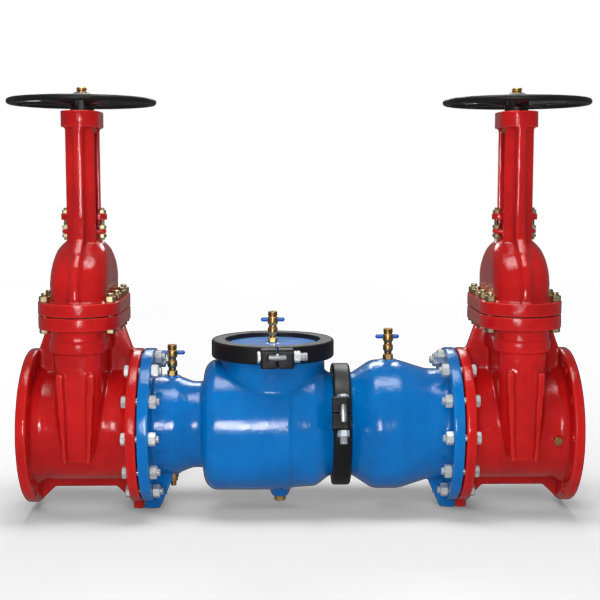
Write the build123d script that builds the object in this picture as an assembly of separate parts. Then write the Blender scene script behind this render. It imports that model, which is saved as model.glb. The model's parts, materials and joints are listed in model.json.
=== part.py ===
from build123d import *
import math
import os

# A large double check valve assembly: two OS&Y gate valves and, between them, a check valve
# body and an outlet body. Millimetres. X runs along the pipe in the flow direction, Z is up,
# and the origin is the centre of the inlet flange's face.

# driving dimensions
FACE_TO_FACE = 355.6
LENGTH = 1698.4
BORE_R = 152.4
FLANGE_R = 241.3
FLANGE_T = 31.8
BLUE_FLANGE_T = 34.0
BOLT_CIRCLE_R = 215.9
BOLT_COUNT = 12
HOLE_R = 12.7
JOINT_HOLE_R = 13.1
FLANGE_GASKET_T = 3.2
LIFT = 313.0
PIPE_R = 162.0
FOOT_Z = -262.0

# gate valve, in its own frame: x from the gate's centre towards the check body
BARREL_R = 172.0
SPLIT_Z = 364.0
BONNET_FLANGE_T = 40.0
BONNET_GASKET_T = 2.0
BONNET_HALF_X = 124.0
BONNET_HALF_Y = 232.0
BONNET_CORNER = 123.9
BONNET_BOLTS = ((104.0, 52.0), (98.3, 147.7))
BONNET_HOLE_R = 10.3
GATE_R = 155.0
GATE_HALF_T = 36.0
GATE_GAP = 0.5
GUIDE_HALF_Y = 188.0
PLUG_X = -110.0
PLUG_Z = -18.0
STEM_R = 16.0
STEM_TOP_Z = 1053.0
RUN_GAP = 0.06
HEAD_Z = 930.0
HEAD_TOP_Z = 980.0
COLLAR_Z = HEAD_Z - 14
ARM_IN_Y = 46.0
ARM_HALF_X = 45.0
ARM_FOOT_Z = 575.0
PACKING_Z = 583.0
PACKING_PITCH = 8.0
PACKING_RINGS = 3
LUG_TOP_Z = 619.0
GLAND_X = 57.0
GLAND_Z = 647.0
WHEEL_R = 218.5
WHEEL_Z = 1009.0
HUB_Z = HEAD_TOP_Z + 1
HUB_TOP_Z = HUB_Z + 40
SPOKES = 5

# check body and outlet body, x measured from the middle of the whole assembly
MID = LENGTH / 2
VALVE_X = FACE_TO_FACE / 2
BLUE_END = MID - FACE_TO_FACE - FLANGE_GASKET_T
NECK_X = -86.0
NECK_TOP_Z = 245.0
COVER_Z = 247.0
JOINT_X = 127.0
THROAT_R = 122.0
MODULE_X = (-320.0, 140.0)
COCK_X = (-403.0, NECK_X, 278.0)
COCK_Z = (157.0, 262.0, 207.0)
DRAIN_X = -64.0
CHECK_TRAVEL = 60.0

# grooved couplings: r and z from the coupling's centre
GROOVE_R = 157.8
KEY_R = 158.2
KEY_IN = 17.6
KEY_OUT = 28.0
POCKET_R = 175.2
CLAMP_R = 192.0
CLAMP_BOLT_R = 207.0
PAD_HALF = 50.0
COVER_TWIST = 4.0
JOINT_TWIST = -20.0


# helpers

def outline(corners):
    """Closed face in the XY plane from corners (x, y, corner radius)."""
    points = [(x, y) for x, y, r in corners]
    return make_face(FilletPolyline(*points, radius=[r for x, y, r in corners], close=True))


def turned_x(corners, at=0.0):
    """Solid turned about X from corners (x, radius, corner radius)."""
    return Pos(at, 0, 0) * revolve(outline(corners), Axis.X)


def turned_z(corners):
    """Solid turned about Z from corners (radius, z, corner radius)."""
    return revolve(Plane.XZ * outline(corners), Axis.Z)


def plate_xz(corners, half_y):
    """Plate in the XZ plane, as thick as twice half_y, from corners (x, z, corner radius)."""
    return extrude(Plane.XZ * outline(corners), half_y, both=True)


def plate_yz(corners, half_x):
    """Plate in the YZ plane, as thick as twice half_x, from corners (y, z, corner radius)."""
    return extrude(Plane.YZ * outline(corners), half_x, both=True)


def block(x0, x1, y0, y1, z0, z1):
    """Box between two corners."""
    centre = Pos((x0 + x1) / 2, (y0 + y1) / 2, (z0 + z1) / 2)
    return centre * Box(x1 - x0, y1 - y0, z1 - z0)


def rod_z(r, z0, z1, x=0.0, y=0.0):
    """Cylinder along Z."""
    return Pos(x, y, (z0 + z1) / 2) * Cylinder(r, z1 - z0)


def rod_x(r, x0, x1, y=0.0, z=0.0):
    """Cylinder along X."""
    return Pos((x0 + x1) / 2, y, z) * Rot(0, 90, 0) * Cylinder(r, x1 - x0)


def slab(half_x, half_y, corner, z0, z1):
    """Upright block with rounded vertical edges."""
    return Pos(0, 0, z0) * extrude(RectangleRounded(2 * half_x, 2 * half_y, corner), z1 - z0)


def stack(sections, ruled=False):
    """Loft through rounded rectangles (z, half x, half y, corner radius)."""
    faces = [Pos(0, 0, z) * RectangleRounded(2 * a, 2 * b, r) for z, a, b, r in sections]
    return loft(faces, ruled=ruled)


def hexagon(across, z0, z1):
    """Hexagonal prism along Z with its corners bevelled at both ends."""
    prism = Pos(0, 0, z0) * extrude(RegularPolygon(across / 2, 6, major_radius=False), z1 - z0)
    corner = across / math.sqrt(3)
    bevel = 0.12 * across
    drop = 0.5 * bevel
    round_limits = [
        (0, z0, 0), (corner - bevel, z0, 0), (corner, z0 + drop, 0),
        (corner, z1 - drop, 0), (corner - bevel, z1, 0), (0, z1, 0),
    ]
    return prism & turned_z(round_limits)


def bolt(shank_r, length, across, head_t):
    """Hex bolt along Z: its head lies below z = 0."""
    return hexagon(across, -head_t, 0) + rod_z(shank_r, -1, length)


def nut(shank_r, across, z0, z1):
    """Hex nut along Z."""
    return hexagon(across, z0, z1) - rod_z(shank_r, z0 - 1, z1 + 1)


def stud(shank_r, z0, z1):
    """Threaded rod along Z with bevelled ends."""
    end = 0.15 * shank_r
    return turned_z([
        (0, z0, 0), (shank_r - end, z0, 0), (shank_r, z0 + end, 0),
        (shank_r, z1 - end, 0), (shank_r - end, z1, 0), (0, z1, 0),
    ])


def around_x(shape, count, radius):
    """Copies of a shape that lies along X, set on a circle about X from the +Y side."""
    step = 360 / count
    return [Rot(step * i, 0, 0) * Pos(0, radius, 0) * shape for i in range(count)]


def flange_holes(r, x0, x1):
    """Bolt holes of one flange."""
    return around_x(rod_x(r, x0, x1), BOLT_COUNT, BOLT_CIRCLE_R)


def four_ways(points):
    """Each point (x, y) in all four quadrants."""
    return [(a * x, b * y) for x, y in points for a in (-1, 1) for b in (-1, 1)]


def at_inlet(shape):
    """Place a gate valve's piece at the inlet end."""
    return Pos(VALVE_X, 0, 0) * shape


def at_outlet(shape):
    """Place a gate valve's piece, turned about, at the outlet end."""
    return Pos(LENGTH - VALVE_X, 0, 0) * Rot(0, 0, 180) * shape


def at_middle(shape):
    """Place a piece measured from the middle of the assembly."""
    return Pos(MID, 0, 0) * shape


# gate valve

def valve_body():
    """Cast body: two flanges, barrel, gate box with guide ribs, bonnet flange and webs."""
    half = FACE_TO_FACE / 2
    back = half - FLANGE_T
    hub = 12.0
    shell = turned_x([
        (-half, 0, 0), (-half, FLANGE_R, 2), (-back, FLANGE_R, 2), (-back, BARREL_R + hub, 6),
        (-back + 2 * hub, BARREL_R, 10), (back - 2 * hub, BARREL_R, 10),
        (back, BARREL_R + hub, 6), (back, FLANGE_R, 2), (half, FLANGE_R, 2), (half, 0, 0),
    ])
    shell += stack([(-72, 39, 208, 30), (40, 64, 210, 50), (190, 73, 211, 60), (252, 75, 211, 62)])
    shell += slab(88, 222, 84, 256, 288)
    shell += slab(82, 216, 78, 286, 326)
    shell += slab(
        BONNET_HALF_X, BONNET_HALF_Y, BONNET_CORNER, SPLIT_Z - BONNET_FLANGE_T, SPLIT_Z)
    for side in (-1, 1):
        for edge in (-1, 1):
            shell += guide_rib(side, edge)
    shell += plate_xz([
        (-118, SPLIT_Z - BONNET_FLANGE_T + 1, 0), (118, SPLIT_Z - BONNET_FLANGE_T + 1, 0),
        (back + 2, FLANGE_R - 3, 0), (back + 2, 150, 0), (-back - 2, 150, 0),
        (-back - 2, FLANGE_R - 3, 0),
    ], 12)
    rib_z = -197.0
    drop = FLANGE_R + rib_z - 3
    shell += plate_xz([
        (-back - 2, -150, 0), (-back - 2, 3 - FLANGE_R, 0), (-back + drop, rib_z, 0),
        (back - 56, rib_z, 0), (back + 2, FOOT_Z + 8, 0), (back + 2, -150, 0),
    ], 12)
    shell += block(back, half, -42, 42, FOOT_Z, -200)
    shell += Pos(PLUG_X, 150, PLUG_Z) * Rot(-90, 0, 0) * Cylinder(20, 48)
    return shell - valve_cavity()


def guide_rib(side, edge):
    """One of the four upright ribs that stiffen the gate's guides, outside the gate box."""
    half_t = 12.0
    rib = plate_xz([
        (edge * 36, 198, 3), (edge * 58, 198, 3), (edge * 41, -72, 3), (edge * 29, -72, 3),
    ], half_t)
    return Pos(0, side * (224 - half_t), 0) * rib


def valve_cavity():
    """Everything that is open in the valve body."""
    half = FACE_TO_FACE / 2
    cavity = rod_x(BORE_R, -half - 1, half + 1)
    wide = GATE_HALF_T + GATE_GAP
    top = SPLIT_Z + 1
    cavity += rod_x(GATE_R + 3, -wide, wide) + block(-wide, wide, -165, 165, 0, top)
    for side in (-1, 1):
        slot = block(-20, 20, 140, GUIDE_HALF_Y + 4, -60, top)
        cavity += slot if side > 0 else mirror(slot, Plane.XZ)
    for x, y in four_ways(BONNET_BOLTS):
        cavity += rod_z(BONNET_HOLE_R, SPLIT_Z - BONNET_FLANGE_T - 1, top, x, y)
    for hole in flange_holes(HOLE_R, -half - 1, -half + FLANGE_T):
        cavity += hole
    for hole in flange_holes(JOINT_HOLE_R, half - FLANGE_T, half + 1):
        cavity += hole
    return cavity + Pos(PLUG_X, 165, PLUG_Z) * Rot(-90, 0, 0) * Cylinder(10.5, 20)


def body_plug():
    """Brass plug in the valve body's side boss."""
    shape = hexagon(24, 0, 13) + rod_z(10.5, -14, 1)
    return Pos(PLUG_X, 174, PLUG_Z) * Rot(-90, 0, 0) * shape


def bonnet():
    """Cast bonnet: flange, dome, stuffing box and lugs, with the yoke on top."""
    low = SPLIT_Z + BONNET_GASKET_T
    top = low + BONNET_FLANGE_T
    shape = slab(BONNET_HALF_X, BONNET_HALF_Y, BONNET_CORNER, low, top)
    shape += stack([
        (top - 1, 86, 200, 82), (450, 86, 197, 82), (500, 86, 176, 80), (530, 82, 148, 74),
        (556, 74, 112, 64), (576, 60, 80, 54), (590, 46, 54, 44),
    ])
    shape += rod_z(44, ARM_FOOT_Z, LUG_TOP_Z)
    shape += slab(69, 22, 20, LUG_TOP_Z - 16, LUG_TOP_Z)
    shape += plate_xz([
        (-44, LUG_TOP_Z - 15, 0), (-26, ARM_FOOT_Z, 0), (26, ARM_FOOT_Z, 0),
        (44, LUG_TOP_Z - 15, 0),
    ], 20)
    for side in (-1, 1):
        shape += yoke_arm(side)
    shape += slab(59, 95, 56, HEAD_Z, HEAD_TOP_Z)
    cavity = stack([
        (low - 1, 48, 192, 24), (404, 48, 190, 24), (450, 48, 162, 24), (500, 48, 128, 24),
        (545, 42, 78, 24), (566, 36, 48, 24),
    ])
    cavity += rod_z(STEM_R + 0.8, 560, PACKING_Z + 1)
    cavity += rod_z(31, PACKING_Z, LUG_TOP_Z + 1)
    cavity += rod_z(30 + RUN_GAP, HEAD_Z - 1, HEAD_TOP_Z + 1)
    for x in (-GLAND_X, GLAND_X):
        cavity += rod_z(6.6, ARM_FOOT_Z, LUG_TOP_Z + 1, x)
    for x, y in four_ways(BONNET_BOLTS):
        cavity += rod_z(BONNET_HOLE_R, low - 1, top + 1, x, y)
    return shape - cavity


def yoke_arm(side):
    """One yoke arm: an upright of T section, and the rib it runs into."""
    half = [(ARM_HALF_X, 0, 2), (ARM_HALF_X, 14, 6), (18, 26, 8), (13, 48, 4)]
    section = outline(
        [(x, ARM_IN_Y + y, r) for x, y, r in half]
        + [(-x, ARM_IN_Y + y, r) for x, y, r in reversed(half)])
    arm = Pos(0, 0, ARM_FOOT_Z) * extrude(section, HEAD_Z - ARM_FOOT_Z + 15)
    arm += plate_yz([
        (46, 600, 0), (90, 700, 0), (94, 660, 30), (103, 596, 30), (144, 556, 20),
        (188, 512, 20), (211, 450, 20), (214, 404, 0), (150, 404, 0), (60, 540, 0),
    ], 15)
    return arm if side > 0 else mirror(arm, Plane.XZ)


def bonnet_gasket():
    """Flat gasket between body and bonnet."""
    shape = slab(BONNET_HALF_X - 40, BONNET_HALF_Y - 14, 60, SPLIT_Z, SPLIT_Z + BONNET_GASKET_T)
    return shape - slab(53, 193, 24, SPLIT_Z - 1, SPLIT_Z + BONNET_GASKET_T + 1)


def bonnet_bolts():
    """Bonnet bolts with their nuts on top."""
    low = SPLIT_Z - BONNET_FLANGE_T
    high = SPLIT_Z + BONNET_GASKET_T + BONNET_FLANGE_T
    pieces = []
    for x, y in four_ways(BONNET_BOLTS):
        pieces.append(Pos(x, y, low) * bolt(9.5, high - low + 26, 29, 12))
        pieces.append(Pos(x, y, 0) * nut(9.5, 29, high, high + 17))
    return pieces


def gland():
    """Packing follower: oblong flange and sleeve."""
    sleeve_z = PACKING_Z + PACKING_RINGS * PACKING_PITCH
    shape = slab(71, 26, 24, GLAND_Z, GLAND_Z + 20) + rod_z(30.6, sleeve_z, GLAND_Z + 1)
    shape -= rod_z(STEM_R + 0.5, sleeve_z - 1, GLAND_Z + 30)
    for x in (-GLAND_X, GLAND_X):
        shape -= rod_z(7.2, GLAND_Z - 1, GLAND_Z + 21, x)
    return shape


def packing():
    """Square rings in the stuffing box, a running fit on the stem."""
    rings = []
    for i in range(PACKING_RINGS):
        z = PACKING_Z + PACKING_PITCH * i
        end = z + PACKING_PITCH - 0.1
        rings.append(rod_z(30.9, z, end) - rod_z(STEM_R + RUN_GAP, z - 1, end + 1))
    return rings


def gland_studs():
    """Two studs with nuts under and over the lower lugs and on the gland."""
    pieces = []
    for x in (-GLAND_X, GLAND_X):
        pieces.append(Pos(x, 0, 0) * stud(6.5, LUG_TOP_Z - 34, GLAND_Z + 38))
        for z in (LUG_TOP_Z - 27, LUG_TOP_Z, GLAND_Z + 20):
            pieces.append(Pos(x, 0, 0) * nut(6.5, 20, z, z + 11))
    return pieces


def stem_nut():
    """Bronze yoke nut: collar under the head, sleeve through it and drive end for the wheel."""
    top = HUB_TOP_Z + 17
    return turned_z([
        (STEM_R + RUN_GAP, COLLAR_Z, 1), (43, COLLAR_Z, 2), (43, HEAD_Z - 0.5, 1),
        (30, HEAD_Z - 0.5, 0), (30, HUB_Z, 0), (24, HUB_Z, 0), (24, top, 1),
        (STEM_R + RUN_GAP, top, 1),
    ])


def handwheel():
    """Round rim, spokes and hub."""
    rim_r = 10.0
    shape = Pos(0, 0, WHEEL_Z) * Torus(WHEEL_R, rim_r)
    shape += turned_z([
        (24, HUB_Z, 0), (37, HUB_Z, 3), (39, HUB_TOP_Z, 4), (24, HUB_TOP_Z, 0),
    ])
    for i in range(SPOKES):
        spoke = plate_xz([
            (30, WHEEL_Z - 12, 3), (120, WHEEL_Z - 6, 60), (WHEEL_R, WHEEL_Z - 5, 0),
            (WHEEL_R, WHEEL_Z + 5, 0), (120, WHEEL_Z + 6, 60), (30, WHEEL_Z + 8, 3),
        ], 11)
        shape += Rot(0, 0, 360 / SPOKES * i + 90) * spoke
    return shape


def wheel_nut():
    """Hex nut that holds the wheel on the yoke nut."""
    return hexagon(58, HUB_TOP_Z, HUB_TOP_Z + 14) - rod_z(24, HUB_TOP_Z - 1, HUB_TOP_Z + 20)


def stem():
    """Rising stem with a bevelled top."""
    return stud(STEM_R, 100, STEM_TOP_Z)


def gate():
    """Gate: disc with guide tongues and a stem boss."""
    top = 172.0
    shape = rod_x(GATE_R, -GATE_HALF_T, GATE_HALF_T) + rod_z(34, 120, top)
    for side in (-1, 1):
        tongue = block(-18, 18, 140, GUIDE_HALF_Y, -50, 70)
        shape += tongue if side > 0 else mirror(tongue, Plane.XZ)
    shape -= block(-24, 60, -25, 25, 114, 144)
    return shape - rod_z(STEM_R + 1, 96, top + 1)


def gate_nut():
    """Bronze nut in the gate's slot, which takes the stem's end."""
    return block(-23.8, 24, -24.6, 24.6, 114.4, 143.6) - rod_z(STEM_R, 110, 150)


# flange joints between the valves and the two blue bodies

def flange_gasket(x):
    """Ring gasket inside the bolt circle."""
    end = x + FLANGE_GASKET_T
    return rod_x(202, x, end) - rod_x(BORE_R + 0.2, x - 1, end + 1)


def flange_bolts():
    """Bolts and nuts of both joints; the top and bottom ones are studs into the valve flange."""
    grip = FLANGE_T + FLANGE_GASKET_T + BLUE_FLANGE_T
    pieces = []
    for i in range(BOLT_COUNT):
        angle = 360 / BOLT_COUNT * i
        upright = angle % 180 == 90
        shank = stud(11.1, 0.5, grip + 31) if upright else bolt(11.1, grip + 31, 33.3, 14)
        for piece in (shank, nut(11.1, 36.5, grip, grip + 22)):
            along = Rot(angle, 0, 0) * Pos(0, BOLT_CIRCLE_R, 0) * Rot(0, 90, 0) * piece
            start = Pos(FACE_TO_FACE - FLANGE_T, 0, 0) * along
            pieces.append(start)
            pieces.append(Pos(LENGTH, 0, 0) * Rot(0, 0, 180) * start)
    return pieces


# check body and outlet body

def blue_flange_foot(side):
    """Foot under a blue flange, with two webs that leave room for the lowest nut."""
    face = side * BLUE_END
    back = side * (BLUE_END - BLUE_FLANGE_T)
    foot = block(min(face, back), max(face, back), -42, 42, FOOT_Z, -200)
    web = plate_xz([
        (back + side, -140, 0), (back + side, FOOT_Z, 0), (back - side * 12, FOOT_Z, 0),
        (back - side * 52, -172, 0), (back - side * 52, -140, 0),
    ], 5)
    return foot + Pos(0, 33, 0) * web + Pos(0, -33, 0) * web


def boss(x, z0, z1, r=25.0):
    """Upright round boss."""
    return rod_z(r, min(z0, z1), max(z0, z1), x)


def check_body():
    """Inlet spool, first check chamber and access neck in one casting."""
    back = BLUE_FLANGE_T - BLUE_END
    shape = turned_x([
        (-BLUE_END, 0, 0), (-BLUE_END, FLANGE_R, 2), (back, FLANGE_R, 2), (back, 154, 8),
        (-385, 154, 60), (-338, 135, 50), (-301, 136, 10), (-301, 206, 44), (-34, 206, 3),
        (-29, 200, 3), (48, 195, 40), (92, PIPE_R, 14), (JOINT_X - 1, PIPE_R, 1.5),
        (JOINT_X - 1, 0, 0),
    ])
    shape += rod_z(163, 100, NECK_TOP_Z - KEY_OUT - 1, NECK_X)
    shape += rod_z(PIPE_R, 200, NECK_TOP_Z, NECK_X)
    shape += boss(COCK_X[0], 130, COCK_Z[0]) + boss(COCK_X[0], -130, -157)
    shape += Pos(DRAIN_X, 0, -211) * Rot(180, 0, 0) * Cone(42, 24, 42)
    shape += blue_flange_foot(-1)
    shape -= turned_x([
        (-BLUE_END - 1, 0, 0), (-BLUE_END - 1, 141, 0), (-385, 141, 60), (-338, THROAT_R, 30),
        (MODULE_X[0] + 32, THROAT_R, 0), (MODULE_X[0] + 32, 193, 30), (-38, 193, 10),
        (44, 182, 30), (88, 149, 10), (JOINT_X, 149, 0), (JOINT_X, 0, 0),
    ])
    shape -= rod_z(150, 0, NECK_TOP_Z + 1, NECK_X)
    shape -= pipe_groove(JOINT_X - KEY_OUT - 1, JOINT_X - KEY_IN + 0.8)
    groove = (NECK_TOP_Z - KEY_OUT, NECK_TOP_Z + 2 - KEY_IN)
    shape -= rod_z(170, *groove, NECK_X) - rod_z(GROOVE_R, 210, 240, NECK_X)
    for z in (140, -140):
        shape -= rod_z(10.5, z - 20, z + 20, COCK_X[0])
    shape -= rod_z(12.5, -240, -180, DRAIN_X)
    for hole in flange_holes(JOINT_HOLE_R, -BLUE_END - 1, back + 1):
        shape -= hole
    return at_middle(shape)


def pipe_groove(x0, x1):
    """Coupling groove round a pipe end that lies along X."""
    return rod_x(170, x0, x1) - rod_x(GROOVE_R, x0 - 1, x1 + 1)


def outlet_body():
    """Second check chamber and outlet flange in one casting."""
    back = BLUE_END - BLUE_FLANGE_T
    shape = turned_x([
        (JOINT_X + 1, 0, 0), (JOINT_X + 1, PIPE_R, 1.5), (164, PIPE_R, 20), (226, 203, 60),
        (308, 203, 90), (400, 174, 70), (back, 174, 8), (back, FLANGE_R, 2),
        (BLUE_END, FLANGE_R, 2), (BLUE_END, 0, 0),
    ])
    shape += boss(COCK_X[2], 180, COCK_Z[2])
    shape += blue_flange_foot(1)
    shape -= turned_x([
        (JOINT_X, 0, 0), (JOINT_X, 149, 0), (136, 149, 0), (140, THROAT_R, 0),
        (MODULE_X[1] + 32, THROAT_R, 0), (MODULE_X[1] + 32, 150, 10), (230, 190, 40),
        (306, 190, 60), (400, 160, 50), (BLUE_END + 1, 152.4, 0), (BLUE_END + 1, 0, 0),
    ])
    shape -= pipe_groove(JOINT_X + KEY_IN - 0.8, JOINT_X + KEY_OUT + 1)
    shape -= rod_z(10.5, 170, 220, COCK_X[2])
    for hole in flange_holes(JOINT_HOLE_R, back - 1, BLUE_END + 1):
        shape -= hole
    return at_middle(shape)


def access_cover():
    """Round cover with a raised centre and a boss for the test cock."""
    shape = turned_z([
        (0, COVER_Z, 0), (PIPE_R, COVER_Z, 1), (PIPE_R, 256, 1), (146, 256.5, 2),
        (143, 260, 2), (0, 260, 0),
    ])
    shape += rod_z(22, 258, COCK_Z[1])
    return at_middle(Pos(NECK_X, 0, 0) * (shape - rod_z(10.5, 240, 270)))


# grooved couplings

def clamp_ring(upper_key_r, upper_key_z):
    """Coupling ring about Z, centred on z = 0, before it is split."""
    return turned_z([
        (KEY_R, -KEY_OUT, 1), (KEY_R, -KEY_IN, 1), (POCKET_R, -KEY_IN + 1, 2),
        (POCKET_R, upper_key_z - 1, 2), (upper_key_r, upper_key_z, 1),
        (upper_key_r, KEY_OUT, 2), (CLAMP_R - 5, KEY_OUT, 1), (CLAMP_R, KEY_OUT - 5, 2),
        (CLAMP_R, 5 - KEY_OUT, 2), (CLAMP_R - 5, -KEY_OUT, 1),
    ])


def clamp_pads():
    """The two bolt pads of a coupling, with bolt holes and an open slot at the split."""
    pad = slab(PAD_HALF, 24, 7, -34, 24)
    pad = Pos(0, -CLAMP_BOLT_R + 2, 0) * pad
    pad -= block(-PAD_HALF - 1, PAD_HALF + 1, -250, -CLAMP_BOLT_R - 8, 14, 30)
    pad -= block(-26, 26, -250, -CLAMP_BOLT_R + 10, -9, 9)
    pad -= rod_x(10.6, -PAD_HALF - 1, PAD_HALF + 1, -CLAMP_BOLT_R)
    return [pad, Rot(0, 0, 180) * pad]


def clamp_half(side, upper_key_r, upper_key_z):
    """One half of a coupling: the side towards +X or -X, in the coupling's own frame."""
    shape = clamp_ring(upper_key_r, upper_key_z)
    bore = rod_z(POCKET_R, -KEY_OUT - 9, KEY_OUT)
    for pad in clamp_pads():
        shape += pad - bore
    keep = block(1.5, 300, -300, 300, -60, 60)
    return shape & (keep if side > 0 else mirror(keep, Plane.YZ))


def clamp_bolts():
    """A coupling's two bolts and nuts."""
    pieces = []
    for turn in (0, 180):
        place = Rot(0, 0, turn) * Pos(-PAD_HALF, -CLAMP_BOLT_R, 0) * Rot(0, 90, 0)
        pieces.append(place * bolt(9.5, 2 * PAD_HALF + 40, 28, 9))
        pieces.append(place * nut(9.5, 31, 2 * PAD_HALF, 2 * PAD_HALF + 19))
    return pieces


def clamp_gasket():
    """Ring gasket round the joint, inside the coupling."""
    return turned_z([
        (PIPE_R + 0.1, -15, 1), (POCKET_R - 0.4, -15, 2), (POCKET_R - 0.4, 8, 2),
        (PIPE_R + 0.1, 8, 1),
    ])


def at_cover(shape):
    """Place a coupling piece round the access neck."""
    return at_middle(Pos(NECK_X, 0, NECK_TOP_Z + 1) * Rot(0, 0, COVER_TWIST) * shape)


def at_joint(shape):
    """Place a coupling piece round the joint of the two blue bodies."""
    return at_middle(Pos(JOINT_X, 0, 0) * Rot(JOINT_TWIST, 0, 0) * Rot(0, 90, 0) * shape)


# check valve modules, x measured from the seat ring's upstream face

def at_module(index, shape):
    """Place a check module's piece in its body."""
    return at_middle(Pos(MODULE_X[index], 0, 0) * shape)


def seat_ring():
    """Seat ring with a shoulder, a seal groove and a raised seating lip."""
    return turned_x([
        (0, 98, 1), (0, 121.9, 1), (11.5, 121.9, 0), (11.5, 116.5, 0), (18.5, 116.5, 0),
        (18.5, 121.9, 0), (32, 121.9, 0), (32, 130, 0), (40, 130, 1), (40, 106, 0),
        (43, 104, 0), (43, 101, 0), (40, 98, 1),
    ])


def seat_seal():
    """O-ring in the seat ring's groove."""
    return Pos(15, 0, 0) * Rot(0, 90, 0) * Torus(119.2, 2.6)


def guide_cage():
    """Four legs and a hub that guides the poppet's stem."""
    hub = turned_x([
        (160, 12.06, 0), (160, 24, 2), (190, 24, 2), (190, 12.06, 0),
    ])
    ring = rod_x(129, 40, 46) - rod_x(119, 39, 47)
    shape = hub + ring
    for i in range(4):
        leg = plate_xz([
            (42, 119.5, 0), (42, 128.5, 0), (150, 128.5, 40), (188, 40, 0), (188, 20, 0),
            (164, 20, 0), (164, 40, 0), (145, 119.5, 20),
        ], 8)
        shape += Rot(45 + 90 * i, 0, 0) * leg
    return shape


def poppet():
    """Check disc with a seal recess and a guide stem."""
    return turned_x([
        (44, 0, 0), (44, 94, 1), (50, 94, 0), (50, 115, 0), (46, 115, 0), (46, 117, 0),
        (58, 117, 2), (62, 40, 10), (70, 18, 4), (72, 12, 0), (186, 12, 2), (186, 0, 0),
    ])


def poppet_seal():
    """Rubber seal ring in the disc's recess."""
    return turned_x([(43.5, 94.2, 0.5), (43.5, 114.8, 0.5), (49.9, 114.8, 0), (49.9, 94.2, 0)])


def check_spring():
    """Compression spring between the disc and the cage's hub."""
    wire = 3.5
    coil_r = 31.0
    turns = 7
    length = 160 - 66 - 2 * wire - 2
    path = Helix(length / turns, length, coil_r)
    section = Plane(origin=path @ 0, z_dir=path % 0) * Circle(wire)
    coil = sweep(section, path=path, is_frenet=True)
    return Pos(66 + wire + 1, 0, 0) * Rot(0, 90, 0) * coil


# test cocks and plugs

def cock_body():
    """Small ball valve: hex base, round ball housing and threaded outlet. z = 0 on its boss."""
    shape = hexagon(27, 0, 16) + rod_z(10.4, -14, 1)
    shape += turned_z([
        (0, 14, 0), (11, 14, 0), (11, 26, 4), (15, 30, 3), (15, 44, 3), (11.5, 48, 3),
        (11.5, 56, 3), (15.5, 60, 3), (15.5, 78, 3), (12, 80, 1), (12, 83, 0), (14, 83, 0),
        (14, 97, 1), (0, 97, 0),
    ])
    shape += Pos(0, 16, 68) * Rot(90, 0, 0) * Cylinder(9, 12)
    shape -= rod_z(6, -20, 100)
    shape -= Pos(0, 0, 68) * Sphere(9.6)
    return shape - Pos(0, 15, 68) * Rot(90, 0, 0) * Cylinder(4.06, 20)


def cock_ball():
    """Ball with its stem along +Y; its bore lies along X while the cock is shut."""
    shape = Sphere(9.2) + Pos(0, 19, 0) * Rot(90, 0, 0) * Cylinder(4, 26)
    return Pos(0, 0, 68) * (shape - rod_x(5.5, -20, 20))


def cock_handle():
    """T-handle on the ball's stem."""
    reach = 30.0
    half = 31.0
    bar = Pos(0, reach, 0) * Rot(0, 90, 0) * Cylinder(6, 2 * half)
    ends = Pos(-half, reach, 0) * Sphere(6) + Pos(half, reach, 0) * Sphere(6)
    hub = Pos(0, reach - 1, 0) * Rot(90, 0, 0) * Cylinder(9, 12)
    shape = bar + ends + hub
    return Pos(0, 0, 68) * (shape - Pos(0, 22, 0) * Rot(90, 0, 0) * Cylinder(4, 20))


def at_cock(index, shape):
    """Place a test cock's piece on its boss."""
    return at_middle(Pos(COCK_X[index], 0, COCK_Z[index]) * shape)


def pipe_plugs():
    """Brass plugs under the inlet spool and the first chamber, and in the valve bodies."""
    spool = hexagon(27, 0, 15) + rod_z(10.4, -14, 1) + hexagon(22, 14, 26) + rod_z(8, 25, 40)
    drain = hexagon(30, 0, 15) + rod_z(12.4, -14, 1)
    down = Rot(180, 0, 0)
    return [
        at_middle(Pos(COCK_X[0], 0, -157) * down * spool),
        at_middle(Pos(DRAIN_X, 0, -232) * down * drain),
        at_inlet(body_plug()),
        at_outlet(body_plug()),
    ]


# assembly

def gate_valve_nodes(name, place):
    """The nodes of one gate valve."""
    return {
        f"{name}_valve_body": [place(valve_body())],
        f"{name}_bonnet": [place(bonnet())],
        f"{name}_gland": [place(gland())],
        f"{name}_stem_nut": [place(stem_nut())],
        f"{name}_handwheel": [place(handwheel())],
        f"{name}_wheel_nut": [place(wheel_nut())],
        f"{name}_stem": [place(stem())],
        f"{name}_gate": [place(gate())],
        f"{name}_gate_nut": [place(gate_nut())],
    }


def both(pieces):
    """The same pieces at both gate valves."""
    return [at_inlet(p) for p in pieces] + [at_outlet(p) for p in pieces]


def check_nodes(index):
    """The nodes of one check module."""
    number = index + 1
    return {
        f"seat_ring_{number}": [at_module(index, seat_ring())],
        f"guide_cage_{number}": [at_module(index, guide_cage())],
        f"poppet_{number}": [at_module(index, poppet())],
        f"poppet_seal_{number}": [at_module(index, poppet_seal())],
        f"check_spring_{number}": [at_module(index, check_spring())],
    }


def cock_nodes(index, name):
    """The nodes of one test cock."""
    return {
        f"{name}_cock_body": [at_cock(index, cock_body())],
        f"{name}_cock_ball": [at_cock(index, cock_ball())],
        f"{name}_cock_handle": [at_cock(index, cock_handle())],
    }


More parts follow.
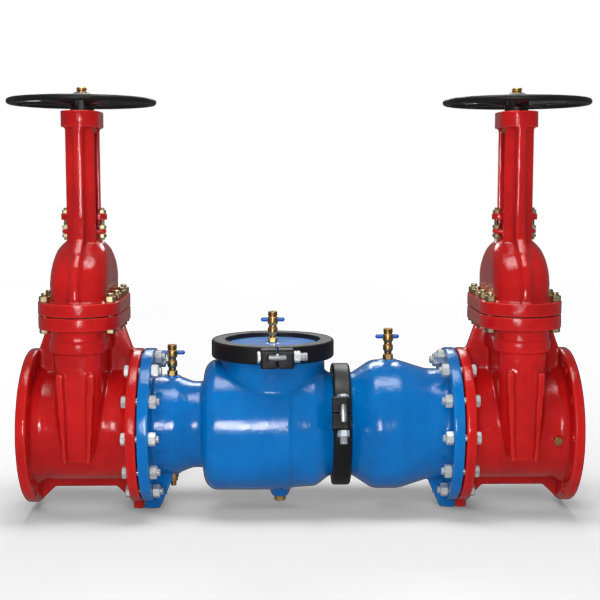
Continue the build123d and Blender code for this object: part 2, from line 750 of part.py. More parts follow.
def all_nodes():
    """Every node and its solids."""
    nodes = gate_valve_nodes("inlet", at_inlet) | gate_valve_nodes("outlet", at_outlet)
    cover_key = (148.5, 257 - NECK_TOP_Z - 1)
    joint_key = (KEY_R, KEY_IN)
    nodes |= {
        "bonnet_gaskets": both([bonnet_gasket()]),
        "bonnet_bolts": both(bonnet_bolts()),
        "packing_rings": both(packing()),
        "gland_studs": both(gland_studs()),
        "flange_gaskets": [
            flange_gasket(FACE_TO_FACE),
            flange_gasket(LENGTH - FACE_TO_FACE - FLANGE_GASKET_T),
        ],
        "flange_bolts": flange_bolts(),
        "check_body": [check_body()],
        "outlet_body": [outlet_body()],
        "access_cover": [access_cover()],
        "cover_gasket": [at_cover(clamp_gasket())],
        "cover_clamp_left": [at_cover(clamp_half(-1, *cover_key))],
        "cover_clamp_right": [at_cover(clamp_half(1, *cover_key))],
        "cover_clamp_bolts": [at_cover(p) for p in clamp_bolts()],
        "joint_gasket": [at_joint(clamp_gasket())],
        "joint_clamp_upper": [at_joint(clamp_half(-1, *joint_key))],
        "joint_clamp_lower": [at_joint(clamp_half(1, *joint_key))],
        "joint_clamp_bolts": [at_joint(p) for p in clamp_bolts()],
        "seat_seals": [at_module(i, seat_seal()) for i in (0, 1)],
        "pipe_plugs": pipe_plugs(),
    }
    nodes |= check_nodes(0) | check_nodes(1)
    for index, name in enumerate(("inlet", "cover", "outlet")):
        nodes |= cock_nodes(index, name)
    return nodes


os.makedirs("parts", exist_ok=True)
for node, pieces in all_nodes().items():
    solids = [s for p in pieces for s in p.solids()]
    export_step(solids[0] if len(solids) == 1 else Compound(solids), f"parts/{node}.step")
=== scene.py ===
import bpy
import json
import math
import numpy as np
from mathutils import Matrix, Vector


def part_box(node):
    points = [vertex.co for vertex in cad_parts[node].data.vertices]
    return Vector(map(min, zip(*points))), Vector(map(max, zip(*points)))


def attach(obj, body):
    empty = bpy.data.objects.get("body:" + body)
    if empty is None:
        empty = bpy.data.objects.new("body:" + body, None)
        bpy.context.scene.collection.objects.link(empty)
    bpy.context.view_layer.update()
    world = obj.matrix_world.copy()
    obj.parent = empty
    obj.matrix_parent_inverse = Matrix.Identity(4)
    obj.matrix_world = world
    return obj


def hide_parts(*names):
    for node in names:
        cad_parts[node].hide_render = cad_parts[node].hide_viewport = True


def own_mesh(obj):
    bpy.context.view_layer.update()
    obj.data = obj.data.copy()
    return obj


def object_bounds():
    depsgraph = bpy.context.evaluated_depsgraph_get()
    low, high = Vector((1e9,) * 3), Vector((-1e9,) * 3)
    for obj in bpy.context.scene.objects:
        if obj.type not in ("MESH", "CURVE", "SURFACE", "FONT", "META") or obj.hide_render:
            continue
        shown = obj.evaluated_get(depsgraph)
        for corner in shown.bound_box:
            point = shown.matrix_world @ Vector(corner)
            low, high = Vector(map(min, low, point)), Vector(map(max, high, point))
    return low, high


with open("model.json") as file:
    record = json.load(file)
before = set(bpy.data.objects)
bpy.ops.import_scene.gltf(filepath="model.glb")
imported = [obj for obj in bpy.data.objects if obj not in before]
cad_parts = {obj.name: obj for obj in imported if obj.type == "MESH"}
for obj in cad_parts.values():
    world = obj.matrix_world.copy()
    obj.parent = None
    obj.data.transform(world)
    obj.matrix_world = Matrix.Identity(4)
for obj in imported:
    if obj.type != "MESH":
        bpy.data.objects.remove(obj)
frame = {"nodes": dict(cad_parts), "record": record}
CAD_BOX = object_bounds()
NODES = frame["nodes"]
MM = 0.001

VALVES = ("inlet", "outlet")
COCKS = ("inlet", "cover", "outlet")


# ---------------------------------------------------------------- places, all from the frame

def middle(node):
    """Centre of a node's box."""
    low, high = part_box(node)
    return (Vector(low) + Vector(high)) / 2


def stem_axis(valve):
    """x of a gate valve's stem."""
    return middle(f"{valve}_stem").x


# ---------------------------------------------------------------- node graph helpers

class Graph:
    """A material's node graph, with short names for the nodes this script uses."""

    def __init__(self, name):
        self.material = bpy.data.materials.new(name)
        self.material.use_nodes = True
        self.tree = self.material.node_tree
        self.shader = self.tree.nodes["Principled BSDF"]
        self.place = self.add("ShaderNodeTexCoord").outputs["Object"]

    def add(self, kind, **settings):
        node = self.tree.nodes.new(kind)
        for key, value in settings.items():
            setattr(node, key, value)
        return node

    def join(self, source, socket):
        self.tree.links.new(source, socket)

    def feed(self, socket, value):
        """Link a socket, or set it if value is a plain number or colour."""
        if isinstance(value, bpy.types.NodeSocket):
            self.join(value, socket)
        elif isinstance(value, tuple) and len(value) == 3 and socket.type == "RGBA":
            socket.default_value = (*value, 1)
        else:
            socket.default_value = value

    def noise(self, scale, detail=2.0, rough=0.5, stretch=None):
        """Noise from 0 to 1, with scale in features per metre."""
        node = self.add("ShaderNodeTexNoise")
        node.inputs["Scale"].default_value = scale
        node.inputs["Detail"].default_value = detail
        node.inputs["Roughness"].default_value = rough
        place = self.place
        if stretch:
            mapping = self.add("ShaderNodeMapping")
            mapping.inputs["Scale"].default_value = stretch
            self.join(place, mapping.inputs["Vector"])
            place = mapping.outputs["Vector"]
        self.join(place, node.inputs["Vector"])
        return node.outputs["Fac"]

    def cells(self, scale):
        """Distance to the nearest of scattered points."""
        node = self.add("ShaderNodeTexVoronoi")
        node.inputs["Scale"].default_value = scale
        self.join(self.place, node.inputs["Vector"])
        return node.outputs["Distance"]

    def span(self, value, low, high, to_low=0.0, to_high=1.0):
        """Map low..high to to_low..to_high, clamped."""
        node = self.add("ShaderNodeMapRange")
        self.join(value, node.inputs["Value"])
        for key, number in (("From Min", low), ("From Max", high),
                            ("To Min", to_low), ("To Max", to_high)):
            node.inputs[key].default_value = number
        return node.outputs["Result"]

    def math(self, kind, a, b=0.5):
        node = self.add("ShaderNodeMath", operation=kind)
        self.feed(node.inputs[0], a)
        self.feed(node.inputs[1], b)
        return node.outputs[0]

    def mix(self, factor, a, b):
        """Mix two colours."""
        node = self.add("ShaderNodeMix", data_type="RGBA")
        self.feed(node.inputs["Factor"], factor)
        self.feed(node.inputs["A"], a)
        self.feed(node.inputs["B"], b)
        return node.outputs["Result"]

    def edges(self):
        """0 in hollows, 0.5 on flats and 1 on edges."""
        geometry = self.add("ShaderNodeNewGeometry")
        return self.span(geometry.outputs["Pointiness"], 0.44, 0.56)

    def bump(self, height, distance, strength=1.0, under=None):
        """Bump of a stated depth in metres, on top of an earlier one."""
        node = self.add("ShaderNodeBump")
        node.inputs["Distance"].default_value = distance
        node.inputs["Strength"].default_value = strength
        self.join(height, node.inputs["Height"])
        if under:
            self.join(under, node.inputs["Normal"])
        return node.outputs["Normal"]

    def set(self, **values):
        """Set or link the shader's sockets; underscores stand for spaces."""
        for key, value in values.items():
            self.feed(self.shader.inputs[key.replace("_", " ")], value)
        return self.material


# ---------------------------------------------------------------- materials

def enamel(name, base, deep, light, rough=(0.08, 0.17), wave=1.0, peel=1.0, coat=0.2):
    """Thick glossy paint over a casting: clouds, painted shade in hollows and pits, a painted
    highlight on sharp edges, orange peel.
    """
    g = Graph(name)
    cloud = g.span(g.noise(7, 4, 0.6), 0.32, 0.68)
    colour = g.mix(cloud, deep, base)
    edge = g.edges()
    # painted shade: colour darkened towards half the base in hollows and creases
    colour = g.mix(g.span(edge, 0.0, 0.45, 0.55, 0.0), colour, tuple(0.45 * c for c in base))
    # painted highlight: a lighter tint of the paint on sharp edges
    colour = g.mix(g.span(edge, 0.62, 1.0, 0.0, 0.35), colour, light)
    pits = g.span(g.cells(95), 0.0, 0.10, 1.0, 0.0)
    # painted shade: colour in the pits darkened towards half the base
    colour = g.mix(g.math("MULTIPLY", pits, 0.22), colour, tuple(0.5 * c for c in base))
    runs = g.noise(30, 3, 0.55, stretch=(1, 1, 0.35))
    normal = g.bump(runs, 0.0024 * wave, 0.6)
    normal = g.bump(g.noise(85, 3, 0.6), 0.0012 * wave, 0.6, normal)
    normal = g.bump(g.noise(240, 3, 0.55), 0.0007 * peel, 0.6, normal)
    normal = g.bump(pits, -0.0005 * peel, 0.5, normal)
    roughness = g.span(g.noise(18, 4, 0.6), 0.3, 0.7, *rough)
    return g.set(Base_Color=colour, Roughness=roughness, Normal=normal, Coat_Normal=normal,
                 IOR=1.5, Specular_IOR_Level=0.4, Coat_Weight=coat, Coat_Roughness=0.05)


def metal(name, base, stain, rough=(0.22, 0.42), grain=600.0, turned=None, metallic=1.0):
    """Plated or machined metal with tool marks, stains and painted shade in hollows."""
    g = Graph(name)
    blot = g.span(g.noise(60, 5, 0.65), 0.38, 0.66)
    colour = g.mix(g.math("MULTIPLY", blot, 0.6), base, stain)
    edge = g.edges()
    # painted shade: colour darkened towards a dark stain tone in hollows
    colour = g.mix(g.span(edge, 0.0, 0.42, 0.75, 0.0), colour, tuple(0.3 * c for c in stain))
    marks = g.noise(grain, 2, 0.5, stretch=turned)
    normal = g.bump(marks, 0.0002, 0.45)
    normal = g.bump(g.noise(45, 3), 0.0005, 0.35, normal)
    roughness = g.span(g.noise(110, 4, 0.6), 0.3, 0.7, *rough)
    return g.set(Base_Color=colour, Metallic=metallic, Roughness=roughness, Normal=normal)


def moulded_rubber(name, base):
    """Matt rubber with a faint bloom."""
    g = Graph(name)
    bloom = g.span(g.noise(40, 4, 0.6), 0.4, 0.7)
    colour = g.mix(g.math("MULTIPLY", bloom, 0.4), base, tuple(2.6 * c + 0.01 for c in base))
    normal = g.bump(g.noise(900, 2), 0.0001, 0.6)
    roughness = g.span(g.noise(80, 3), 0.3, 0.7, 0.5, 0.75)
    return g.set(Base_Color=colour, Roughness=roughness, Normal=normal)


def dipped_vinyl(name, base):
    """Soft vinyl coat on the cock handles."""
    g = Graph(name)
    cloud = g.span(g.noise(70, 3), 0.35, 0.65)
    colour = g.mix(cloud, tuple(0.72 * c for c in base), base)
    normal = g.bump(g.noise(380, 3), 0.0003, 0.5)
    roughness = g.span(g.noise(150, 2), 0.3, 0.7, 0.28, 0.42)
    return g.set(Base_Color=colour, Roughness=roughness, Normal=normal, Coat_Weight=0.2)


def floor_paint():
    """Pale matt studio floor."""
    g = Graph("studio_floor")
    shade = g.span(g.noise(1.5, 3), 0.3, 0.7)
    colour = g.mix(shade, (0.86, 0.86, 0.86), (0.89, 0.89, 0.89))
    return g.set(Base_Color=colour, Roughness=0.75, Specular_IOR_Level=0.2)


# Each enamel's third colour is its painted highlight on sharp edges.
MATERIALS = {
    "red_epoxy": enamel("red_enamel", (0.52, 0.008, 0.008), (0.36, 0.005, 0.006),
                        (0.80, 0.06, 0.03)),
    "blue_epoxy": enamel("blue_enamel", (0.0, 0.150, 0.47), (0.0, 0.112, 0.37),
                         (0.01, 0.28, 0.68)),
    "pale_blue_epoxy": enamel("pale_blue_enamel", (0.20, 0.42, 0.90), (0.17, 0.36, 0.82),
                              (0.34, 0.54, 0.90), wave=0.5),
    "black_enamel": enamel("black_enamel", (0.0065, 0.0065, 0.0075), (0.004, 0.004, 0.0045),
                           (0.035, 0.035, 0.038), rough=(0.34, 0.52), wave=0.6, coat=0.0),
    "brass": metal("cock_brass", (0.76, 0.50, 0.19), (0.42, 0.24, 0.08)),
    "bronze": metal("stem_bronze", (0.62, 0.42, 0.20), (0.32, 0.20, 0.08)),
    "zinc_steel": metal("zinc_plate", (0.74, 0.78, 0.80), (0.36, 0.38, 0.38), rough=(0.26, 0.5),
                        metallic=0.6),
    "yellow_zinc_steel": metal("yellow_zinc_plate", (0.60, 0.54, 0.32), (0.30, 0.25, 0.12),
                               rough=(0.26, 0.5)),
    "stainless": metal("stainless", (0.60, 0.60, 0.59), (0.42, 0.42, 0.41)),
    "rubber": moulded_rubber("black_rubber", (0.012, 0.012, 0.012)),
    "rubber_covered_iron": moulded_rubber("gate_rubber", (0.015, 0.015, 0.015)),
    "blue_handle": dipped_vinyl("blue_vinyl", (0.004, 0.13, 0.56)),
}

SLOT_OF = {row["node"]: row["material_slot"] for row in frame["record"]["subparts"]}
BODY_OF = {node: body for body, nodes in frame["record"]["behaviour"]["bodies"].items()
           for node in nodes}
JOINTS = {joint["name"]: joint for joint in frame["record"]["behaviour"]["joints"]}


def dress(obj, slot):
    """Give an object one material from the record's slot."""
    obj.data.materials.clear()
    obj.data.materials.append(MATERIALS[slot])


def stand_for(piece, node):
    """A finished piece takes its CAD node's place, body, slot and material."""
    dress(piece, SLOT_OF[node])
    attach(piece, BODY_OF[node])
    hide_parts(node)
    return piece


def new_object(name, data):
    """A new object in the scene."""
    obj = bpy.data.objects.new(name, data)
    bpy.context.scene.collection.objects.link(obj)
    return obj


# ---------------------------------------------------------------- castings

def settled(obj):
    """Replace an object's mesh with the result of its modifiers."""
    graph = bpy.context.evaluated_depsgraph_get()
    mesh = bpy.data.meshes.new_from_object(obj.evaluated_get(graph))
    obj.modifiers.clear()
    obj.data = mesh
    return obj


def casting(node, voxel, rounds, soft=(), depth=0.0008):
    """The node's shape as a foundry leaves it: edges rounded, faces not quite flat.

    soft lists spans of heights whose edges are blended further, and by how many rounds.
    """
    obj = new_object(f"{node}_casting", NODES[node].data.copy())
    remesh = obj.modifiers.new("remesh", "REMESH")
    remesh.mode = "VOXEL"
    remesh.voxel_size = voxel * 1.0
    remesh.adaptivity = 0.0
    settled(obj)
    heights = np.empty(3 * len(obj.data.vertices))
    obj.data.vertices.foreach_get("co", heights)
    heights = heights[2::3]
    for low, high, more in soft:
        group = obj.vertex_groups.new(name="soft")
        group.add(np.nonzero((heights > low) & (heights < high))[0].tolist(), 1.0, "REPLACE")
        blend = obj.modifiers.new("blend", "SMOOTH")
        blend.factor = 0.5
        blend.iterations = more
        blend.vertex_group = group.name
    smooth = obj.modifiers.new("smooth", "SMOOTH")
    smooth.factor = 0.5
    smooth.iterations = rounds
    waves = bpy.data.textures.new(f"{node}_waves", "CLOUDS")
    waves.noise_scale = 0.035
    hollows = obj.modifiers.new("hollows", "DISPLACE")
    hollows.texture = waves
    hollows.mid_level = 1.0
    hollows.strength = depth
    fewer = obj.modifiers.new("fewer", "DECIMATE")
    fewer.ratio = 0.5
    settled(obj)
    obj.vertex_groups.clear()
    obj.data.shade_smooth()
    return stand_for(obj, node)


def turned_copy(piece, node):
    """The outlet valve's casting: the inlet's, turned half round about the vertical."""
    shift = Matrix.Translation((stem_axis("inlet") + stem_axis("outlet"), 0, 0))
    mesh = piece.data.copy()
    mesh.transform(shift @ Matrix.Rotation(math.pi, 4, "Z"))
    return stand_for(new_object(f"{node}_casting", mesh), node)


def cast_pieces():
    """All the cast pieces."""
    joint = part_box("inlet_bonnet")[0][2]
    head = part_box("inlet_bonnet")[1][2]
    for part, voxel, rounds, soft in (
            ("valve_body", 0.0040, 3, ((-0.165, joint - 0.050, 5),)),
            ("bonnet", 0.0034, 3, ((joint + 0.046, joint + 0.185, 50),
                                   (joint + 0.060, head - 0.055, 10))),
            ("gland", 0.0018, 3, ()), ("handwheel", 0.0026, 3, ())):
        turned_copy(casting(f"inlet_{part}", voxel, rounds, soft), f"outlet_{part}")
    for node, voxel, rounds in (("check_body", 0.0040, 3), ("outlet_body", 0.0040, 3),
                                ("access_cover", 0.0030, 2), ("cover_clamp_left", 0.0026, 3),
                                ("cover_clamp_right", 0.0026, 3), ("joint_clamp_upper", 0.0026, 3),
                                ("joint_clamp_lower", 0.0026, 3)):
        casting(node, voxel, rounds)


# ---------------------------------------------------------------- turned and threaded shapes

COUNT = 36     # points in each ring
THREAD_ROWS = 6                 # rings per turn of a thread
HEX_FACE = 0.475                # radius of a hexagon's round end face, over its width


def circle(radius, z):
    """Ring of points about Z."""
    steps = (2 * math.pi * j / COUNT for j in range(COUNT))
    return [Vector((radius * math.cos(t), radius * math.sin(t), z)) for t in steps]


def hexagon(across, z, face=0.0, way=0):
    """Six-sided ring with a corner on X; way tips it down (1) or up (-1) outside radius face."""
    ring = []
    for j in range(COUNT):
        turn = 2 * math.pi * j / COUNT
        radius = across / 2 / math.cos(turn % (math.pi / 3) - math.pi / 6)
        drop = way * max(radius - face, 0.0) * 0.5 if way else 0.0
        ring.append(Vector((radius * math.cos(turn), radius * math.sin(turn), z - drop)))
    return ring


def thread(radius, depth, pitch, low, high):
    """Rings along a screw thread, which runs out at both ends."""
    rows = max(2, round((high - low) / pitch * THREAD_ROWS))
    rings = []
    for i in range(rows + 1):
        z = low + (high - low) * i / rows
        fade = min(1.0, (z - low) / pitch, (high - z) / pitch)
        ring = []
        for j in range(COUNT):
            turn = 2 * math.pi * j / COUNT
            phase = (z / pitch - j / COUNT) % 1.0
            cut = depth * fade * min(max(1.5 - 5 * abs(phase - 0.5), 0.0), 1.0)
            out = radius - cut
            ring.append(Vector((out * math.cos(turn), out * math.sin(turn), z)))
        rings.append(ring)
    return rings


def hex_prism(across, low, high):
    """Rings up the outside of a hexagon with both ends turned off round."""
    face = across * HEX_FACE
    return [circle(face, low), hexagon(across, low, face, -1), hexagon(across, high, face, 1),
            circle(face, high)]


class Build:
    """Points and faces of one piece, gathered part by part."""

    def __init__(self):
        self.points, self.faces = [], []

    def skin(self, rings, place=Matrix(), closed=False):
        """A wall through rings, capped at both ends or closed on itself."""
        start, total = len(self.points), len(rings)
        wide = len(rings[0])
        for ring in rings:
            self.points.extend(place @ point for point in ring)
        for i in range(total if closed else total - 1):
            a, b = start + i * wide, start + (i + 1) % total * wide
            for j in range(wide):
                k = (j + 1) % wide
                self.faces.append((a + j, a + k, b + k, b + j))
        if not closed:
            self.faces.append(tuple(range(start + wide - 1, start - 1, -1)))
            self.faces.append(tuple(range(start + (total - 1) * wide, start + total * wide)))
        return self

    def made(self, name, sharp=35):
        """The piece as an object, smooth but for edges over the sharp angle."""
        mesh = bpy.data.meshes.new(name)
        mesh.from_pydata(self.points, [], self.faces)
        mesh.shade_smooth()
        mesh.set_sharp_from_angle(angle=math.radians(sharp))
        return new_object(name, mesh)


def set_at(origin, axis, corner):
    """Place for a shape whose Z runs along axis and whose X is nearest to corner."""
    z = Vector(axis).normalized()
    x = (Vector(corner) - z * z.dot(Vector(corner))).normalized()
    place = Matrix((x, z.cross(x), z)).transposed().to_4x4()
    return Matrix.Translation(Vector(origin)) @ place


# ---------------------------------------------------------------- bolts, studs and nuts

HEAD_RATIO = 1.2        # an end this much wider than the other is a bolt's head
SHORTEST_SCREW = 0.04   # anything shorter is a nut
NUT_BEVEL = 0.0012

def solids(node):
    """The points of each separate solid in a node."""
    mesh = NODES[node].data
    points = np.empty(3 * len(mesh.vertices))
    mesh.vertices.foreach_get("co", points)
    points = points.reshape(-1, 3)
    edges = np.empty(2 * len(mesh.edges), int)
    mesh.edges.foreach_get("vertices", edges)
    _, spot = np.unique(np.round(points * 1e5).astype(int), axis=0, return_inverse=True)
    spot = spot.ravel()
    a, b = spot[edges[0::2]], spot[edges[1::2]]
    label = np.arange(spot.max() + 1)
    while True:
        lower = label.copy()
        np.minimum.at(lower, a, label[b])
        np.minimum.at(lower, b, label[a])
        lower = lower[lower]
        if (lower == label).all():
            break
        label = lower
    return [points[label[spot] == i] for i in np.unique(label)]


def measured(points, axis=None, near=None):
    """Centre and axis of a round or six-sided solid, and each point's place along and from it."""
    centre = (points.min(0) + points.max(0)) / 2 if near is None else near
    if axis is None:
        axis = np.linalg.eigh(np.cov((points - points.mean(0)).T))[1][:, 2]
    along = (points - centre) @ axis
    across = np.linalg.norm(points - centre - np.outer(along, axis), axis=1)
    return centre, axis, along, across


def screw(build, points, corner, pitch):
    """A hex bolt with a threaded end, or a stud threaded at both ends; returns its axis line."""
    centre, axis, along, across = measured(points)
    low, high = along.min(), along.max()
    edge = 0.05 * (high - low)
    low_r, high_r = across[along < low + edge].max(), across[along > high - edge].max()
    if high_r > low_r * HEAD_RATIO:
        axis, along = -axis, -along
        low, high, low_r, high_r = along.min(), along.max(), high_r, low_r
    centre_line = centre + axis * (low + high) / 2
    centre = Vector(centre)
    place = set_at(centre + Vector(axis) * low, axis, corner)
    length = high - low
    depth = 0.55 * pitch
    bevel = 0.16 * high_r
    end = [circle(high_r, length - bevel), circle(high_r - bevel, length)]
    if low_r > high_r * HEAD_RATIO:
        head = along[across > high_r * 1.05].max() - low
        hex_across = across.max() * math.sqrt(3)
        rings = hex_prism(hex_across, 0, head - 0.0006)
        rings += [circle(hex_across * HEX_FACE, head), circle(high_r, head)]
        rings += thread(high_r, depth, pitch, length * 0.70, length - bevel) + end[1:]
    else:
        rings = [circle(high_r - bevel, 0), circle(high_r, bevel)]
        rings += thread(high_r, depth, pitch, bevel * 1.01, length - bevel) + end[1:]
    build.skin(rings, place)
    return centre_line, axis


def fasteners(node, pitch, corner):
    """The node's bolts, studs and nuts; corner(centre) points a hexagon's corner."""
    build = Build()
    parts = sorted(solids(node), key=lambda points: -np.ptp(points, axis=0).max())
    lines = []
    for points in parts:
        centre, _, along, across = measured(points)
        if np.ptp(along) > max(2.2 * across.max(), SHORTEST_SCREW):
            lines.append(screw(build, points, corner(Vector(centre)), pitch))
            continue
        axis = min(lines, key=lambda line: np.linalg.norm(np.cross(centre - line[0], line[1])))[1]
        _, _, along, across = measured(points, axis, centre)
        hex_across = across.max() * math.sqrt(3)
        bore = across.min() * 1.03
        low, high = along.min(), along.max()
        rings = hex_prism(hex_across, low, high)
        rings += [circle(bore + NUT_BEVEL, high), circle(bore, high - NUT_BEVEL),
                  circle(bore, low + NUT_BEVEL), circle(bore + NUT_BEVEL, low)]
        build.skin(rings, set_at(centre, axis, corner(Vector(centre))), closed=True)
    stand_for(build.made(f"{node}_detail"), node)


def all_fasteners():
    """Every group of bolts and studs."""
    x, z = Vector((1, 0, 0)), Vector((0, 0, 1))
    fasteners("flange_bolts", 0.0030, lambda at: Vector((0, -at.z, at.y)))
    fasteners("bonnet_bolts", 0.0025, lambda at: x)
    fasteners("gland_studs", 0.0018, lambda at: x)
    fasteners("cover_clamp_bolts", 0.0025, lambda at: z)
    fasteners("joint_clamp_bolts", 0.0025, lambda at: x)


# ---------------------------------------------------------------- stems, wheel nuts, cocks, springs

def stem(valve):
    """Rising stem: plain through the packing, square-threaded above it."""
    node = f"{valve}_stem"
    low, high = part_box(node)
    radius = (high[0] - low[0]) / 2
    at = middle(node)
    length = high[2] - low[2]
    turns = JOINTS[f"{valve}_wheel_turn"]["range_deg"][1] / 360
    pitch = JOINTS[f"{valve}_gate_lift"]["range_m"][1] / turns
    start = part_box("packing_rings")[1][2] + 0.008 - low[2]
    bevel = 2.4 * MM
    rings = [circle(radius - bevel, 0), circle(radius, bevel)]
    rings += thread(radius, 3.0 * MM, pitch, start, length - bevel)
    rings.append(circle(radius - bevel, length))
    place = Matrix.Translation((at.x, at.y, low[2]))
    stand_for(Build().skin(rings, place).made(f"{node}_detail"), node)


def wheel_nut(valve):
    """Large thin nut over the handwheel's hub."""
    node = f"{valve}_wheel_nut"
    low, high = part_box(node)
    at = middle(node)
    bore = 24.2 * MM
    rings = hex_prism(high[1] - low[1], low[2], high[2])
    rings += [circle(bore + 1.5 * MM, high[2]), circle(bore, high[2] - 1.5 * MM),
              circle(bore, low[2] + 1.5 * MM), circle(bore + 1.5 * MM, low[2])]
    place = Matrix.Translation((at.x, at.y, 0))
    stand_for(Build().skin(rings, place, closed=True).made(f"{node}_detail"), node)


def joined(target, other, operation):
    """Add another closed shape to a piece, or cut it away."""
    step = target.modifiers.new("step", "BOOLEAN")
    step.operation = operation
    step.solver = "EXACT"
    step.object = other
    settled(target)
    bpy.data.objects.remove(other)
    return target


def rounded(corners, bend, steps=4):
    """Profile through (radius, z) corners, each but the first and last rounded by its bend."""
    path = [corners[0]]
    for before, here, after in zip(corners, corners[1:], corners[2:]):
        a, b, c = (Vector(p) for p in (before, here, after))
        reach = min(bend, (a - b).length * 0.45, (c - b).length * 0.45)
        start, end = b + (a - b).normalized() * reach, b + (c - b).normalized() * reach
        for i in range(steps + 1):
            t = i / steps
            path.append(tuple(start * (1 - t) ** 2 + 2 * b * t * (1 - t) + end * t ** 2))
    path.append(corners[-1])
    return path


def cock_body():
    """One test cock's body, with its base at the origin: hexagon, ball housing, threaded outlet."""
    def mm(*pairs):
        return [(r * MM, z * MM) for r, z in pairs]

    housing = rounded(mm((11, 16), (11, 26), (15, 30), (15, 44), (11.5, 48), (11.5, 56),
                         (15.5, 60), (15.5, 78), (12, 80.5), (12, 83)), 2.2 * MM)
    rings = [circle(10.4 * MM, -14 * MM), circle(10.4 * MM, -0.2 * MM)]
    rings += hex_prism(27 * MM, 0, 15.6 * MM)
    rings += [circle(r, z) for r, z in housing]
    rings += [circle(12.6 * MM, 83.2 * MM), circle(13.9 * MM, 84 * MM)]
    rings += thread(14 * MM, 1.1 * MM, 1.9 * MM, 84.1 * MM, 95.6 * MM)
    rings += [circle(13.9 * MM, 95.8 * MM), circle(12.9 * MM, 97 * MM)]
    body = Build().skin(rings).made("cock_body")
    side = set_at((0, 0, 68 * MM), (0, 1, 0), (1, 0, 0))
    neck = [circle(9 * MM, 5 * MM), circle(9 * MM, 20.8 * MM), circle(8 * MM, 22 * MM)]
    body = joined(body, Build().skin(neck, side).made("cock_neck"), "UNION")
    ball = 9.6 * MM
    bore = [circle(6 * MM, -30 * MM)]
    for i in range(13):
        turn = math.radians(-51 + 102 * i / 12)
        bore.append(circle(ball * math.cos(turn), 68 * MM + ball * math.sin(turn)))
    bore.append(circle(6 * MM, 110 * MM))
    body = joined(body, Build().skin(bore).made("cock_bore"), "DIFFERENCE")
    port = [circle(4.06 * MM, 4 * MM), circle(4.06 * MM, 40 * MM)]
    body = joined(body, Build().skin(port, side).made("cock_port"), "DIFFERENCE")
    body.data.set_sharp_from_angle(angle=math.radians(32))
    return body


def cocks():
    """The three test cocks' bodies."""
    body = cock_body()
    for cock in COCKS:
        node = f"{cock}_cock_body"
        mesh = body.data.copy()
        mesh.transform(Matrix.Translation((middle(node).x, 0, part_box(node)[0][2] + 14 * MM)))
        stand_for(new_object(f"{node}_detail", mesh), node)
    bpy.data.objects.remove(body)


def spring(index):
    """Check spring: a coil of wire along its node's box."""
    node, joint = f"check_spring_{index}", f"check_{index}_open"
    low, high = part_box(node)
    wire, margin = 3.45 * MM, 3.5 * MM
    turns, steps, sides = 7, 32, 10
    coil = (high[2] - low[2]) / 2 - margin
    length = high[0] - low[0] - 7 * MM
    rows = turns * steps
    rings = []
    for i in range(rows + 1):
        turn = 2 * math.pi * i / steps
        out = Vector((0, math.cos(turn), math.sin(turn)))
        way = Vector((length / rows, -coil * math.sin(turn) * 2 * math.pi / steps,
                      coil * math.cos(turn) * 2 * math.pi / steps)).normalized()
        centre = Vector((low[0] + margin + length * i / rows, 0, 0)) + coil * out
        side = way.cross(out)
        rings.append([centre + wire * (math.cos(a) * out + math.sin(a) * side)
                      for a in (2 * math.pi * k / sides for k in range(sides))])
    piece = stand_for(Build().skin(rings).made(f"{node}_detail", 60), node)
    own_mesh(piece)


def machined_pieces():
    """The turned and threaded pieces."""
    for valve in VALVES:
        stem(valve)
        wheel_nut(valve)
    cocks()
    for index in (1, 2):
        spring(index)
    all_fasteners()


# ---------------------------------------------------------------- CAD nodes that stay

def dress_nodes():
    """Every CAD node gets its slot's material."""
    for node, obj in NODES.items():
        dress(obj, SLOT_OF[node])


# ---------------------------------------------------------------- studio

def floor():
    """Floor that shows only the object's shadow, so every view has the same white ground."""
    low = CAD_BOX[0][2]
    centre = (CAD_BOX[0][0] + CAD_BOX[1][0]) / 2
    half = 8
    corners = [(centre + x * half, y * half, low) for x, y in ((-1, -1), (1, -1), (1, 1), (-1, 1))]
    mesh = bpy.data.meshes.new("studio_floor")
    mesh.from_pydata(corners, [], [(0, 1, 2, 3)])
    obj = new_object("studio_floor", mesh)
    obj.data.materials.append(floor_paint())
    obj.visible_glossy = False
    obj.is_shadow_catcher = True


def light(name, place, aim, size, power, shine=True):
    """Soft rectangular lamp; shine says whether glossy faces mirror it."""
    data = bpy.data.lights.new(name, "AREA")
    data.shape = "RECTANGLE"
    data.size, data.size_y = size
    data.energy = power
    obj = new_object(name, data)
    obj.visible_glossy = shine
    obj.location = place
    obj.rotation_euler = (Vector(aim) - Vector(place)).to_track_quat("-Z", "Y").to_euler()


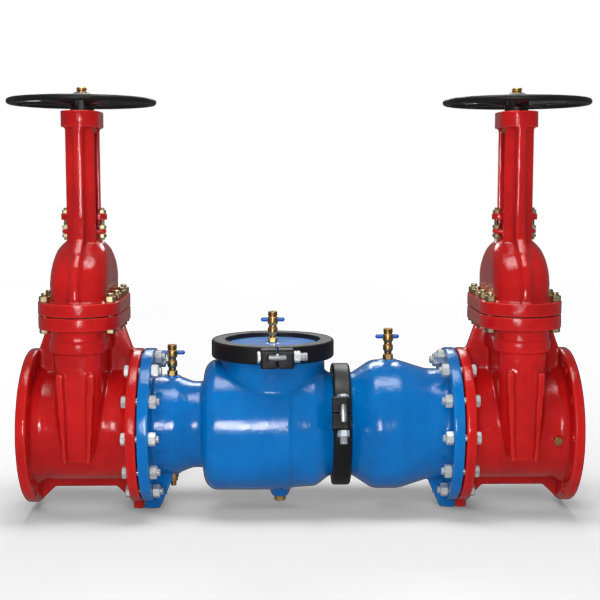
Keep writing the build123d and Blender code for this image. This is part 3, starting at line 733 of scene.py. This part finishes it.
def studio():
    """Lamps, and a world that is white to the camera and a dim neutral surround to the rest."""
    centre = (CAD_BOX[0][0] + CAD_BOX[1][0]) / 2
    aim = (centre, 0, 0.3)
    light("key", (centre - 1.0, -3.9, 3.3), aim, (3.6, 2.2), 98, False)
    light("fill", (centre + 2.2, -3.8, 1.8), aim, (2.0, 1.6), 20, False)
    light("front_lamp", (centre - 0.4, -4.2, 0.62), (centre, 0, 0.25), (0.42, 0.20), 62)
    light("top", (centre, -0.2, 4.2), aim, (3.0, 1.4), 104)
    light("rear", (centre, 3.6, 2.6), aim, (2.4, 1.2), 60)
    world = bpy.data.worlds.new("surround")
    world.use_nodes = True
    nodes, join = world.node_tree.nodes, world.node_tree.links.new
    seen, surround = nodes.new("ShaderNodeBackground"), nodes["Background"]
    seen.inputs["Color"].default_value = (1, 1, 1, 1)
    surround.inputs["Color"].default_value = (0.98, 0.97, 0.95, 1)
    surround.inputs["Strength"].default_value = 0.17
    either, path = nodes.new("ShaderNodeMixShader"), nodes.new("ShaderNodeLightPath")
    join(path.outputs["Is Camera Ray"], either.inputs["Fac"])
    join(surround.outputs["Background"], either.inputs[1])
    join(seen.outputs["Background"], either.inputs[2])
    join(either.outputs["Shader"], nodes["World Output"].inputs["Surface"])
    scene = bpy.context.scene
    scene.world = world
    scene.view_settings.view_transform = "Standard"


def camera():
    """View from the front, tipped down a little, near enough to match the photo's perspective."""
    focal, sensor = 68.7, 36.0
    distance = 3.6
    pitch, yaw = math.radians(6), math.radians(1)
    aim = Vector(((CAD_BOX[0][0] + CAD_BOX[1][0]) / 2, 0, 0.395))
    forward = Vector((math.sin(yaw) * math.cos(pitch), math.cos(yaw) * math.cos(pitch),
                      -math.sin(pitch)))
    data = bpy.data.cameras.new("camera")
    data.lens, data.sensor_width = focal, sensor
    obj = new_object("camera", data)
    obj.location = aim - forward * distance
    obj.rotation_euler = forward.to_track_quat("-Z", "Y").to_euler()
    bpy.context.scene.camera = obj


camera()
studio()
floor()
dress_nodes()
cast_pieces()
machined_pieces()
